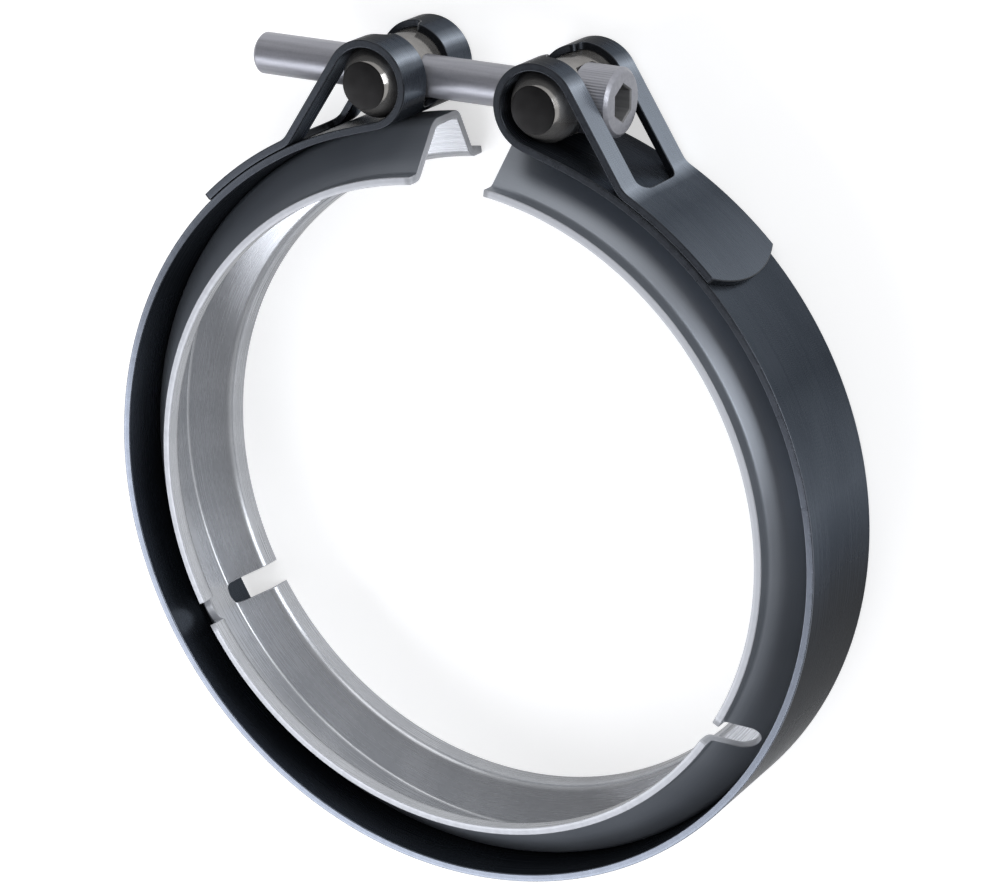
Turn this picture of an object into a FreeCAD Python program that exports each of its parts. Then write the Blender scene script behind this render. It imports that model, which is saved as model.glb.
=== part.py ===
import FreeCAD, Part
import math
import os

# V-band clamp: a band folded back on itself round two trunnions, a V-profile channel inside
# it, and the cap screw that draws the trunnions together. Units are millimetres.
# Z is the clamp's axis, and Z = 0 is the band's mid-plane. The opening between the ends
# faces +Y and the screw lies along X beyond it. The front is +Z.
# "Ring angle" is measured from +Y towards +X.

Vector = FreeCAD.Vector
ORIGIN = Vector(0, 0, 0)
X_AXIS = Vector(1, 0, 0)
Z_AXIS = Vector(0, 0, 1)

# ---------------------------------------------------------------- driving sizes
# V-profile channel, bent from one sheet
channel_flat_r = 74.45      # outside radius of the flat that lies in the band
channel_sheet = 1.5
groove_depth = 8.6          # from the flat's outside to the lips' outside, radially
front_corner = 2.5          # front wall's outside line at the flat, from the mid-plane
back_corner = 6.6
front_slope_deg = 43.0      # walls, from the radial plane
back_slope_deg = 22.6
front_lip = 2.65            # lips beyond the outside corners of the walls
back_lip = 3.05
front_flat_bend = 3.2       # bend radii at the middle of the sheet
back_flat_bend = 1.5
front_lip_bend = 2.1
back_lip_bend = 1.7
half_gap_deg = 6.9          # ring angle of each end

# relief notches that let the channel flex open
relief_deg = 120.0          # ring angle of the pair on each side
relief_width = 4.75
relief_front_end = 3.9      # from the mid-plane to a notch's round end
relief_back_end = 5.0

# band
band_thickness = 1.5
band_width = 25.0
band_seat = 0.05            # clearance between band and channel
trunnion_half_spacing = 17.9
loop_lift = 0.28            # loops stand this far off the ring
strap_lean_deg = 57.4       # ring angle that the outer strap faces
strap_bend_r = 4.5          # outside radius where the strap bends down onto the band
tail_seam = 0.1             # seam between the tail and the band under it
tail_edge_deg = 44.5        # ring angle of the tail's two corners
tongue_r = 27.5             # radius of the tail's rounded end
window_clearance = 0.3      # each side of the screw's head
window_before_bend = 0.5    # the window's outer end lies this far along the tail
window_past_top = 1.0       # its inner end lies this far past the loop's top
window_corner = 3.0
slot_clearance = 0.3        # each side of the screw's shank
slot_past_screw = 1.4       # the slot's end circle is centred this far below the screw
shoulder_corner = 1.3       # where the window narrows to the slot: hollow corners
shoulder_round = 0.9        # and full corners
weld_r = 2.5                # spot welds that hold the tail
weld_offset = 6.5           # from the mid-plane
weld_insets_deg = (4.0, 10.0)

# trunnions
trunnion_r = 7.0
trunnion_overhang = 0.5     # beyond each edge of the band
trunnion_face_r = 4.45      # flat left by the long chamfer
trunnion_chamfer_deg = 30.0
loop_fit = 0.05             # running clearance of a trunnion in its loop

# socket head cap screw
screw_r = 4.0
screw_length = 70.0         # under the head
screw_point = 0.7           # chamfer at the free end
head_r = 6.5
head_height = 8.0
head_chamfer = 0.7
key_across_flats = 6.0
key_depth = 4.3
drill_point_deg = 118.0
seat_offset = 3.35          # head's seat, from the plain trunnion's axis
seat_gap = 0.15             # head above its seat before it is tightened
seat_clearance = 0.35       # seat's radius over the head's
thread_fit = 0.05           # clearance in the tapped trunnion
passage_clearance = 0.5     # clearance in the plain trunnion

# ---------------------------------------------------------------- derived sizes
band_inner_r = channel_flat_r + band_seat
band_mid_r = band_inner_r + band_thickness / 2
band_outer_r = band_inner_r + band_thickness
tail_mid_r = band_outer_r + tail_seam + band_thickness / 2
loop_inner_r = trunnion_r + loop_fit
loop_mid_r = loop_inner_r + band_thickness / 2
loop_outer_r = loop_inner_r + band_thickness
window_width = 2 * (head_r + window_clearance)
slot_width = 2 * (screw_r + slot_clearance)
trunnion_length = band_width + 2 * trunnion_overhang

# each trunnion's axis, from the point where band and loop would touch
trunnion_reach = band_mid_r + loop_mid_r + loop_lift
screw_height = math.sqrt(trunnion_reach ** 2 - trunnion_half_spacing ** 2)
right_centre = Vector(trunnion_half_spacing, screw_height, 0)
head_seat_x = trunnion_half_spacing + seat_offset


def ring_direction(angle_deg):
    """Unit vector that points outwards at a ring angle."""
    angle = math.radians(angle_deg)
    return Vector(math.sin(angle), math.cos(angle), 0)


def mirrored(shape):
    """The same shape on the other side of the opening."""
    return shape.mirror(ORIGIN, X_AXIS)


# ---------------------------------------------------------------- bent sheet
def bent_sheet(start, heading_deg, moves, thickness):
    """Section of a sheet that follows straight runs and bends, drawn in the XY plane.

    The moves are ("run", length), ("left", middle radius, degrees) and
    ("right", middle radius, degrees).
    """
    half = thickness / 2
    point = Vector(start)
    heading = math.radians(heading_deg)
    left_edges = []
    right_edges = []

    def beside(at, angle, offset):
        return at + Vector(-math.sin(angle), math.cos(angle), 0) * offset

    for move in moves:
        if move[0] == "run":
            end = point + Vector(math.cos(heading), math.sin(heading), 0) * move[1]
            for edges, offset in ((left_edges, half), (right_edges, -half)):
                edges.append(Part.makeLine(beside(point, heading, offset), beside(end, heading, offset)))
            point = end
            continue
        sense = 1 if move[0] == "left" else -1
        radius, sweep = move[1], sense * math.radians(move[2])
        centre = beside(point, heading, sense * radius)
        for edges, offset in ((left_edges, half), (right_edges, -half)):
            stops = [beside(centre, heading + sweep * share, offset - sense * radius)
                     for share in (0, 0.5, 1)]
            edges.append(Part.Arc(*stops).toShape())
        heading += sweep
        point = beside(centre, heading, -sense * radius)

    first_cap = Part.makeLine(left_edges[0].firstVertex(True).Point, right_edges[0].firstVertex(True).Point)
    last_cap = Part.makeLine(left_edges[-1].lastVertex(True).Point, right_edges[-1].lastVertex(True).Point)
    outline = Part.__sortEdges__(left_edges + [last_cap] + right_edges + [first_cap])
    return Part.Face(Part.Wire(outline))


def extruded(face, width):
    """A section in the XY plane, extruded evenly to both sides of Z = 0."""
    placed = face.copy()
    placed.translate(Vector(0, 0, -width / 2))
    return placed.extrude(Vector(0, 0, width))


# ---------------------------------------------------------------- channel
def channel_section():
    """The V profile as one bent sheet, from lip to lip, with X as minus the radius and Y as Z."""
    half = channel_sheet / 2
    flat_mid_r = channel_flat_r - half
    lip_mid_r = channel_flat_r - groove_depth - half
    drop = flat_mid_r - lip_mid_r

    def wall(corner, slope_deg, lip, flat_bend, lip_bend):
        """Top corner, lip run, wall run and flat shortening of one wall, at the sheet's middle."""
        slope = math.radians(slope_deg)
        turn = math.radians(90 - slope_deg)
        top = corner - half / math.cos(slope) + half * math.tan(slope)
        foot = top + drop * math.tan(slope)
        edge = corner + groove_depth * math.tan(slope) + lip
        flat_setback = flat_bend * math.tan(turn / 2)
        lip_setback = lip_bend * math.tan(turn / 2)
        lip_run = edge - foot - lip_setback
        wall_run = drop / math.cos(slope) - lip_setback - flat_setback
        return top, edge, lip_run, wall_run, flat_setback

    front_top, front_edge, front_lip_run, front_wall, front_setback = wall(
        front_corner, front_slope_deg, front_lip, front_flat_bend, front_lip_bend)
    back_top, _, back_lip_run, back_wall, back_setback = wall(
        back_corner, back_slope_deg, back_lip, back_flat_bend, back_lip_bend)
    moves = [
        ("run", front_lip_run),
        ("right", front_lip_bend, 90 - front_slope_deg),
        ("run", front_wall),
        ("left", front_flat_bend, 90 - front_slope_deg),
        ("run", front_top + back_top - front_setback - back_setback),
        ("left", back_flat_bend, 90 - back_slope_deg),
        ("run", back_wall),
        ("right", back_lip_bend, 90 - back_slope_deg),
        ("run", back_lip_run),
    ]
    return bent_sheet(Vector(-lip_mid_r, front_edge, 0), -90, moves, channel_sheet)


def relief_notch(angle_deg, round_end, side):
    """Cutter for one round-ended notch, open towards the lip on the side +1 or -1."""
    radius = relief_width / 2
    bottom = channel_flat_r - 2 * groove_depth
    depth = band_inner_r + 1 - bottom
    centre_y = round_end + radius
    slot = Part.makeBox(relief_width, band_width, depth, Vector(-radius, centre_y, bottom))
    cutter = slot.fuse(Part.makeCylinder(radius, depth, Vector(0, centre_y, bottom), Z_AXIS))
    # drawn with Y along the clamp's axis and Z outwards
    cutter.rotate(ORIGIN, X_AXIS, 90 * side)
    if side > 0:
        cutter.rotate(ORIGIN, Z_AXIS, 180)
    cutter.rotate(ORIGIN, Z_AXIS, -angle_deg)
    return cutter


def build_channel():
    section = channel_section()
    # stood up so that it spans radius and Z, then turned to the left end of the opening
    section.rotate(ORIGIN, X_AXIS, 90)
    section.rotate(ORIGIN, Z_AXIS, 270 + half_gap_deg)
    ring = section.revolve(ORIGIN, Z_AXIS, 360 - 2 * half_gap_deg)
    notches = []
    for angle in (relief_deg, -relief_deg):
        notches.append(relief_notch(angle, relief_front_end, 1))
        notches.append(relief_notch(angle, relief_back_end, -1))
    return ring.cut(notches)


# ---------------------------------------------------------------- band's path, right end
bend_mid_r = strap_bend_r + band_thickness / 2
strap_normal = ring_direction(strap_lean_deg)
strap_distance = strap_normal.dot(right_centre) + loop_mid_r
bend_sweep_deg = math.degrees(math.acos((strap_distance + bend_mid_r) / (tail_mid_r + bend_mid_r)))
bend_start_deg = strap_lean_deg - bend_sweep_deg
bend_centre = ring_direction(bend_start_deg) * (tail_mid_r + bend_mid_r)
strap_foot = bend_centre - strap_normal * bend_mid_r
strap_top = right_centre + strap_normal * loop_mid_r
strap_run = (strap_top - strap_foot).Length

# the leg is the common tangent of the ring and the loop
leg_run = math.sqrt(trunnion_reach ** 2 - (band_mid_r + loop_mid_r) ** 2)
leg_deg = math.degrees(math.asin(trunnion_half_spacing / trunnion_reach)
                       + math.acos((band_mid_r + loop_mid_r) / trunnion_reach))
loop_sweep_deg = strap_lean_deg + 180 - leg_deg

# the tail ends in an arc across the band, struck from a point on the band
tongue_centre_deg = tail_edge_deg - math.degrees(
    math.asin(math.sqrt(tongue_r ** 2 - (band_width / 2) ** 2) / tail_mid_r))
tail_tip_deg = tongue_centre_deg + math.degrees(math.asin(tongue_r / tail_mid_r))

# landmarks of the window and the slot
window_end_deg = bend_start_deg + math.degrees(window_before_bend / tail_mid_r)
shoulder_deg = math.degrees(window_past_top / loop_mid_r)
slot_end_deg = 90 + math.degrees(slot_past_screw / loop_mid_r)


def strap_moves(from_deg, loop_deg):
    """The sheet's path from a ring angle on the tail, up the strap and round the loop."""
    return [
        ("left", tail_mid_r, from_deg - bend_start_deg),
        ("right", bend_mid_r, bend_sweep_deg),
        ("run", strap_run),
        ("left", loop_mid_r, loop_deg),
    ]


def on_tail(angle_deg):
    return ring_direction(angle_deg) * tail_mid_r


def on_loop(angle_deg):
    """A point at the middle of the right loop's sheet. The slot's side has negative angles."""
    return right_centre + ring_direction(angle_deg) * loop_mid_r


# ---------------------------------------------------------------- band's cut-outs
def spandrel(radius, at, outwards, x_side, z, z_side):
    """What lies between a square corner at the height z and its rounding.

    x_side is +1 where the corner opens along the sheet's path, and z_side is +1 where it
    opens towards +Z.
    """
    margin = 0.2
    bulge = radius * (1 - math.sqrt(0.5))
    arc = Part.Arc(Vector(radius, 0, 0), Vector(bulge, bulge, 0), Vector(0, radius, 0)).toShape()
    rest = Part.makePolygon([
        Vector(0, radius, 0),
        Vector(-margin, radius, 0),
        Vector(-margin, -margin, 0),
        Vector(radius, -margin, 0),
        Vector(radius, 0, 0),
    ])
    piece = extruded(Part.Face(Part.Wire([arc] + rest.Edges)), 3 * band_thickness)
    if x_side < 0:
        piece = piece.mirror(ORIGIN, X_AXIS)
    if z_side < 0:
        piece = piece.mirror(ORIGIN, Vector(0, 1, 0))
    path = Vector(-outwards.y, outwards.x, 0)
    piece.Placement = FreeCAD.Placement(FreeCAD.Matrix(
        path.x, 0, outwards.x, at.x,
        path.y, 0, outwards.y, at.y,
        0, 1, 0, z,
        0, 0, 0, 1)).multiply(piece.Placement)
    return piece


def window_cutter():
    """The wide window for the screw's head, from the strap's bend to just past the loop's top."""
    face = bent_sheet(on_tail(window_end_deg), 180 - window_end_deg,
                      strap_moves(window_end_deg, strap_lean_deg + shoulder_deg),
                      band_thickness + tail_seam)
    window = extruded(face, window_width)
    shoulder = (window_width - slot_width) / 2
    hollow_r = min(shoulder_corner, 0.55 * shoulder)
    corners = []
    for z_side in (1, -1):
        edge = z_side * window_width / 2
        corners.append(spandrel(window_corner, on_tail(window_end_deg),
                                ring_direction(window_end_deg), 1, edge, -z_side))
        corners.append(spandrel(hollow_r, on_loop(-shoulder_deg),
                                ring_direction(-shoulder_deg), -1, edge, -z_side))
    return window.cut(corners)


def slot_cutter():
    """The narrow slot for the screw's shank, from the window down the loop's inner side."""
    face = bent_sheet(on_loop(-shoulder_deg + 2), 180 + shoulder_deg - 2,
                      [("left", loop_mid_r, slot_end_deg - shoulder_deg + 2)],
                      band_thickness + tail_seam)
    round_end = Part.makeCylinder(slot_width / 2, loop_outer_r + 1, right_centre,
                                  ring_direction(-slot_end_deg))
    shoulder = (window_width - slot_width) / 2
    full_r = min(shoulder_round, 0.4 * shoulder)
    rounds = [spandrel(full_r, on_loop(-shoulder_deg), ring_direction(-shoulder_deg),
                       1, z_side * slot_width / 2, z_side) for z_side in (1, -1)]
    return extruded(face, slot_width).fuse([round_end] + rounds)


def tongue_cutter():
    """What is taken off the tail so that it ends in an arc."""
    start_deg = tail_tip_deg + 1
    sweep_deg = start_deg - tail_edge_deg + 1
    face = bent_sheet(on_tail(start_deg), 180 - start_deg, [("left", tail_mid_r, sweep_deg)],
                      band_thickness + tail_seam)
    axis = ring_direction(tongue_centre_deg)
    disc = Part.makeCylinder(tongue_r, 2 * band_outer_r, ORIGIN, axis)
    return extruded(face, band_width + 2).cut(disc)


def weld_spots():
    """Spot welds between the tail and the band under it."""
    spots = []
    for inset in weld_insets_deg:
        outwards = ring_direction(tail_edge_deg - inset)
        for z in (weld_offset, -weld_offset):
            foot = outwards * (band_outer_r - tail_seam) + Vector(0, 0, z)
            spots.append(Part.makeCylinder(weld_r, 3 * tail_seam, foot, outwards))
    return spots


def build_band():
    right_end = strap_moves(tail_tip_deg, loop_sweep_deg) + [("run", leg_run)]
    ring = ("right", band_mid_r, 360 - 2 * leg_deg)
    moves = right_end + [ring] + right_end[::-1]
    strip = extruded(bent_sheet(on_tail(tail_tip_deg), 180 - tail_tip_deg, moves, band_thickness), band_width)
    cutters = [window_cutter(), slot_cutter(), tongue_cutter()]
    strip = strip.cut(cutters + [mirrored(cutter) for cutter in cutters])
    spots = weld_spots()
    return strip.fuse(spots + [mirrored(spot) for spot in spots])


# ---------------------------------------------------------------- trunnions
def trunnion_blank(x):
    """A turned pin with a long chamfer at each end, standing along Z."""
    half = trunnion_length / 2
    chamfer = (trunnion_r - trunnion_face_r) / math.tan(math.radians(trunnion_chamfer_deg))
    profile = Part.makePolygon([
        Vector(0, 0, -half),
        Vector(trunnion_face_r, 0, -half),
        Vector(trunnion_r, 0, chamfer - half),
        Vector(trunnion_r, 0, half - chamfer),
        Vector(trunnion_face_r, 0, half),
        Vector(0, 0, half),
        Vector(0, 0, -half),
    ])
    pin = Part.Face(profile).revolve(ORIGIN, Z_AXIS, 360)
    pin.translate(Vector(x, screw_height, 0))
    return pin


def screw_bore(radius, from_x, to_x):
    """Cutter along the screw's axis."""
    return Part.makeCylinder(radius, to_x - from_x, Vector(from_x, screw_height, 0), X_AXIS)


def build_tapped_trunnion():
    x = -trunnion_half_spacing
    reach = trunnion_r + 1
    return trunnion_blank(x).cut(screw_bore(screw_r + thread_fit, x - reach, x + reach))


def build_plain_trunnion():
    x = trunnion_half_spacing
    reach = trunnion_r + 1
    passage = screw_bore(screw_r + passage_clearance, x - reach, x + reach)
    seat = screw_bore(head_r + seat_clearance, head_seat_x, x + reach)
    return trunnion_blank(x).cut([passage, seat])


# ---------------------------------------------------------------- cap screw
def build_screw():
    under_head = head_seat_x + seat_gap
    top = under_head + head_height
    tip = under_head - screw_length
    profile = Part.makePolygon([
        Vector(tip, 0, 0),
        Vector(tip, screw_r - screw_point, 0),
        Vector(tip + screw_point, screw_r, 0),
        Vector(under_head, screw_r, 0),
        Vector(under_head, head_r, 0),
        Vector(top - head_chamfer, head_r, 0),
        Vector(top, head_r - head_chamfer, 0),
        Vector(top, 0, 0),
        Vector(tip, 0, 0),
    ])
    turned = Part.Face(profile).revolve(ORIGIN, X_AXIS, 360)
    # the hexagon has two corners towards +Y and -Y
    socket_floor = top - key_depth
    corner_r = key_across_flats / 2 / math.cos(math.radians(30))
    floor_centre = Vector(socket_floor, 0, 0)
    to_corners = [Vector(0, math.cos(math.radians(turn)), math.sin(math.radians(turn)))
                  for turn in range(0, 361, 60)]
    hexagon = Part.makePolygon([floor_centre + way * corner_r for way in to_corners])
    socket = Part.Face(hexagon).extrude(Vector(key_depth + 1, 0, 0))
    point_depth = key_across_flats / 2 / math.tan(math.radians(drill_point_deg / 2))
    drill_point = Part.makeCone(0, key_across_flats / 2, point_depth,
                                floor_centre - X_AXIS * point_depth, X_AXIS)
    screw = turned.cut([socket, drill_point])
    screw.translate(Vector(0, screw_height, 0))
    return screw


# ---------------------------------------------------------------- export
def main():
    os.makedirs("parts", exist_ok=True)
    pieces = {
        "band": build_band(),
        "channel": build_channel(),
        "tapped_trunnion": build_tapped_trunnion(),
        "plain_trunnion": build_plain_trunnion(),
        "cap_screw": build_screw(),
    }
    for name, shape in pieces.items():
        shape.exportStep("parts/" + name + ".step")
        print(name, "solids", len(shape.Solids), "valid", shape.isValid(), "volume", round(shape.Volume, 1))


main()
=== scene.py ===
# %% [markdown]
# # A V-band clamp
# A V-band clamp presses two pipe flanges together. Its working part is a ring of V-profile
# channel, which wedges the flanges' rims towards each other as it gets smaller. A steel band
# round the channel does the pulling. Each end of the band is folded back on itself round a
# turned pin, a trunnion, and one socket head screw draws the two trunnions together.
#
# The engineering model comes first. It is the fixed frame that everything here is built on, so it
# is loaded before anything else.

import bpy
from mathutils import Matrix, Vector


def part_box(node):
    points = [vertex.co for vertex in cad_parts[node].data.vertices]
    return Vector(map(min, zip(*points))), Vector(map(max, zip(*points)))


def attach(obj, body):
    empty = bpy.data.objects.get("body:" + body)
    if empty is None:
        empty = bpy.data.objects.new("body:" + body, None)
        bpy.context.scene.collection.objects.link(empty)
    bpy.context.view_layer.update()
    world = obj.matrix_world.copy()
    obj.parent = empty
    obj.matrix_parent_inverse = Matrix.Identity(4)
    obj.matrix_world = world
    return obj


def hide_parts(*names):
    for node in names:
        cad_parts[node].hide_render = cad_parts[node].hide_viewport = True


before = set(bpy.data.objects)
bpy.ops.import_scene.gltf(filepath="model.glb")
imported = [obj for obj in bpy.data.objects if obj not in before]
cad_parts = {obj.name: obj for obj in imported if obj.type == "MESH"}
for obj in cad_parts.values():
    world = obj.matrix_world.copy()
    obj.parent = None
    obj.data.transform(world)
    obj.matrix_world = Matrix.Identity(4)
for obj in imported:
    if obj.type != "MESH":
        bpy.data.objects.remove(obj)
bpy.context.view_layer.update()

# %% [markdown]
# ## Sizes
# The engineering model already says how large each piece is and where it lies. Reading those
# sizes from it keeps the two models the same. Only the sizes that a box can't show, such as a
# bend's radius, are written here. Lengths are in millimetres until a mesh is made.
#
# A "ring angle" is measured from +Y, where the opening is, towards +X, where the screw's
# head is. Z is the clamp's axis.

# %% Sizes from the engineering model
import math

import bmesh
import bpy
import numpy as np
from mathutils import Matrix, Vector

MM = 0.001


def extent(node, axis):
    """Lowest and highest place of a CAD node along one axis, in millimetres."""
    low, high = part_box(node)
    return low[axis] / MM, high[axis] / MM


band_outer_r = extent("band", 0)[1]
band_width = extent("band", 2)[1] - extent("band", 2)[0]
channel_back, channel_front = extent("channel", 2)
pin_left, pin_right = extent("plain_trunnion", 0)
pin_bottom, pin_top = extent("plain_trunnion", 1)
pin_r = (pin_right - pin_left) / 2
pin_x = (pin_right + pin_left) / 2
pin_y = (pin_top + pin_bottom) / 2
pin_length = 2 * extent("plain_trunnion", 2)[1]
screw_tip, screw_top = extent("cap_screw", 0)
head_r = extent("cap_screw", 2)[1]
print("ring", round(band_outer_r, 2), "band width", round(band_width, 2))
print("pins at", round(pin_x, 2), round(pin_y, 2), "radius", round(pin_r, 2))
print("screw", round(screw_tip, 2), "to", round(screw_top, 2))

# %% Sizes of the bends and cut-outs
strip = 1.5                 # thickness of the band's and the channel's steel
tail_gap = 0.1              # from the ring to the tail that is welded to it
loop_gap = 0.05             # from a trunnion to the inside of its loop
strap_bend_r = 4.5          # inside radius of the bend at a strap's foot
strap_lean = 57.4           # ring angle that the strap beside the screw's head faces
tail_edge = 44.5            # ring angle of the tail's corners
tongue_r = 27.5             # radius of the tail's rounded end
shank_r = 4.0
screw_gap = 0.3             # from the screw to the sides of the window and of the slot

trunnion_reach = math.hypot(pin_x, pin_y)
band_mid_r = band_outer_r - strip / 2
tail_mid_r = band_outer_r + tail_gap + strip / 2
loop_mid_r = pin_r + loop_gap + strip / 2
bend_mid_r = strap_bend_r + strip / 2
window_half, slot_half = head_r + screw_gap, shank_r + screw_gap

groove_depth = 8.6
channel_flat_r = 74.45      # outside radius of the flat, which lies in the band
front_wall = dict(corner=2.5, slope=43.0, lip=2.65, flat_bend=3.2, lip_bend=2.1)
back_wall = dict(corner=6.6, slope=22.6, lip=3.05, flat_bend=1.5, lip_bend=1.7)
half_gap = 6.9              # ring angle of each end of the channel
relief_angle = 120.0
relief_r = 4.75 / 2         # the relief notches are twice this wide
relief_front, relief_back = 3.9, 5.0
print("trunnions' axes are", round(trunnion_reach, 2), "from the clamp's axis")

# %% [markdown]
# ## The camera
# The clamp lies on its back, and the camera looks down on it from the side of the screw's head.
# A long lens keeps the ring nearly a true ellipse. The matrix's columns are the camera's right,
# its up and the way from the object to the camera.

# %% Camera
camera = bpy.data.objects.new("camera", bpy.data.cameras.new("camera"))
bpy.context.scene.collection.objects.link(camera)
camera_right = Vector((0.86859, 0.00248, -0.49552))
camera_up = Vector((-0.17364, 0.93811, -0.29967))
camera_back = Vector((0.46411, 0.34634, 0.81527))
turn = Matrix((camera_right, camera_up, camera_back)).transposed()
camera_place = (0.298106, 0.230238, 0.516723)
camera.matrix_world = Matrix.Translation(camera_place) @ turn.to_4x4()
camera.data.lens = 118.9
camera.data.sensor_width = 36
camera.data.sensor_fit = "HORIZONTAL"
bpy.context.scene.camera = camera
print("camera", round(camera.location.length, 3), "m from the clamp's middle")

# %% [markdown]
# ## Writing finishes
# Each finish is a small network of shader nodes. Wiring nodes by hand takes five lines where
# the idea takes one, so three small classes help. `Value` wraps a node's output, and arithmetic
# on it adds Math nodes: `1 - mask` makes a node that subtracts. `Network` has one method, which
# adds any other node: first its settings, then the values or links of its sockets. `Finish` is
# the network of a new material.

# %% Shader helpers
class Value:
    """A shader node's output. Arithmetic on it adds Math nodes."""

    def __init__(self, finish, socket):
        self.finish = finish
        self.socket = socket

    def _math(self, operation, first, second):
        return self.finish.node("ShaderNodeMath", {"operation": operation}, {0: first, 1: second})

    def __add__(self, other):
        return self._math("ADD", self, other)

    def __radd__(self, other):
        return self._math("ADD", other, self)

    def __sub__(self, other):
        return self._math("SUBTRACT", self, other)

    def __rsub__(self, other):
        return self._math("SUBTRACT", other, self)

    def __mul__(self, other):
        return self._math("MULTIPLY", self, other)

    def __rmul__(self, other):
        return self._math("MULTIPLY", other, self)


class Network:
    """The shader nodes of a material or of the world, emptied to start with."""

    def __init__(self, owner):
        owner.use_nodes = True
        self.tree = owner.node_tree
        self.tree.nodes.clear()

    def node(self, kind, settings=None, sockets=None, output=0):
        """Adds a node and returns one of its outputs, if it has any."""
        made = self.tree.nodes.new(kind)
        for name, setting in (settings or {}).items():
            if name == "stops":
                self._set_stops(made.color_ramp.elements, setting)
            else:
                setattr(made, name, setting)
        for key, value in (sockets or {}).items():
            if isinstance(value, Value):
                self.tree.links.new(value.socket, made.inputs[key])
            else:
                made.inputs[key].default_value = value
        return Value(self, made.outputs[output]) if made.outputs else None

    def _set_stops(self, elements, stops):
        """Gives a ramp its stops, each (position, grey level)."""
        while len(elements) < len(stops):
            elements.new(1.0)
        for element, (position, level) in zip(elements, stops):
            element.position = position
            element.color = (level, level, level, 1)


class Finish(Network):
    """A material that is being made."""

    def __init__(self, name):
        self.material = bpy.data.materials.new(name)
        super().__init__(self.material)


print("shader helpers ready")

# %% [markdown]
# Three patterns come back in every steel finish: noise stretched along one way, a value
# squeezed into a new range, and a mix of two colours. On bent sheet the noise reads a point on
# the blank, before it is bent, because the rolling lines of a strip run along it and follow
# every bend.

# %% Patterns that the finishes share
def place_on_blank(finish):
    """The point on the flat blank, in metres: along the strip, across it, and through it."""
    return finish.node("ShaderNodeAttribute", {"attribute_name": "blank"}, output=1)


def place_on_object(finish):
    """The point in the piece's own space, in metres."""
    return finish.node("ShaderNodeTexCoord", output=3)


def scaled(finish, place, scale):
    """A point multiplied by a number of its own along each axis."""
    return finish.node("ShaderNodeVectorMath", {"operation": "MULTIPLY"}, {0: place, 1: scale})


def streaks(finish, place, scale, detail=3.0, rough=0.55):
    """Noise from 0 to 1, with a scale of its own along each axis."""
    return finish.node("ShaderNodeTexNoise", None,
                       {"Vector": scaled(finish, place, scale), "Scale": 1.0,
                        "Detail": detail, "Roughness": rough})


def squeezed(finish, value, low, high, to_low, to_high):
    """A value from low to high, moved to the range from to_low to to_high and held there."""
    return finish.node("ShaderNodeMapRange", {"clamp": True},
                       {"Value": value, "From Min": low, "From Max": high,
                        "To Min": to_low, "To Max": to_high})


def mixed(finish, share, first, second):
    """One colour where share is 0 and the other where it is 1."""
    return finish.node("ShaderNodeMix", {"data_type": "RGBA"},
                       {0: share, 6: first, 7: second}, output=2)


def level_from_ends(finish, place, half_length, stops, wander=0.0):
    """A level along a strip, the same from either end to its middle, half_length mm on."""
    half = half_length * MM
    along = finish.node("ShaderNodeSeparateXYZ", None, {"Vector": place}, output=0)
    from_end = finish.node("ShaderNodeMath", {"operation": "PINGPONG"}, {0: along, 1: half})
    share = (from_end + wander) * (1 / half)
    ramp_stops = [(at / half_length, level) for at, level in stops]
    return finish.node("ShaderNodeValToRGB", {"stops": ramp_stops}, {"Fac": share})


def steel(finish, colour, roughness, height, depth, metallic=1.0, grazing=1.0):
    """Ends a finish: a metal surface whose bump is depth metres from its lowest to its highest.

    Metallic below 1 mixes in a plain matt colour. Grazing below 1 makes the surface darker
    where it is seen edge-on.
    """
    bump = finish.node("ShaderNodeBump", None,
                       {"Strength": 1.0, "Distance": depth, "Height": height})
    shader = finish.node("ShaderNodeBsdfPrincipled", None,
                         {"Base Color": colour, "Roughness": roughness, "Metallic": metallic,
                          "Specular Tint": (grazing, grazing, grazing, 1), "Normal": bump})
    finish.node("ShaderNodeOutputMaterial", None, {"Surface": shader})
    return finish.material


print("pattern helpers ready")

# %% [markdown]
# ## Finish: the band
# The band is rolled strip with a dark, fairly glossy skin. Rolling leaves hair-fine lines along
# the strip, and the skin's tone drifts a little over a few centimetres. The lines vary the
# roughness more than the colour, because that is what stretches a highlight across them. What the
# dark skin is made of isn't known. Its depth, its slight mattness and the way it stays dark where
# it is seen edge-on were chosen.

# %% Finish of the band
def rolled_steel(name, dark, light, smooth, rough, metallic, grazing=1.0,
                 lines_scale=(25.0, 2600.0, 0.0), painted_light=None):
    """Rolled strip. Its last argument paints highlights and shade: (half its length in mm, stops),
    from either end to the middle.
    """
    finish = Finish(name)
    place = place_on_blank(finish)
    lines = streaks(finish, place, lines_scale, detail=4.0)
    cloud = streaks(finish, place, (38.0, 70.0, 0.0), detail=2.0)
    tone = squeezed(finish, 0.35 * lines + 0.65 * cloud, 0.32, 0.68, 0.0, 1.0)
    # painted highlights and painted shade along the strip, from a ramp of stops
    if painted_light:
        level = level_from_ends(finish, place, *painted_light, wander=0.0015 * (cloud - 0.5))
        tone = (0.05 * tone + level) * (0.85 + 0.3 * lines)
    colour = mixed(finish, tone, dark, light)
    shine = squeezed(finish, 0.6 * lines + 0.4 * cloud, 0.3, 0.7, smooth, rough)
    return steel(finish, colour, shine, height=lines, depth=0.000002,
                 metallic=metallic, grazing=grazing)


print("rolled steel ready")

# %% [markdown]
# ## Finish: cut edges
# A shear leaves two zones on a strip's edge. The blade burnishes the first third, and the rest
# tears and stays matt. The blank's third coordinate runs through the sheet, so it can tell the
# zones apart. Short marks cross the edge where the blade slid. The band's edge can also be given
# darker stretches of painted shade. No cause is known for them: they are retouching.

# %% Finish of the cut edges
# the colour of the darkest painted shade on a cut edge
EDGE_PAINTED_SHADE = (0.006, 0.007, 0.008, 1)


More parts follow.
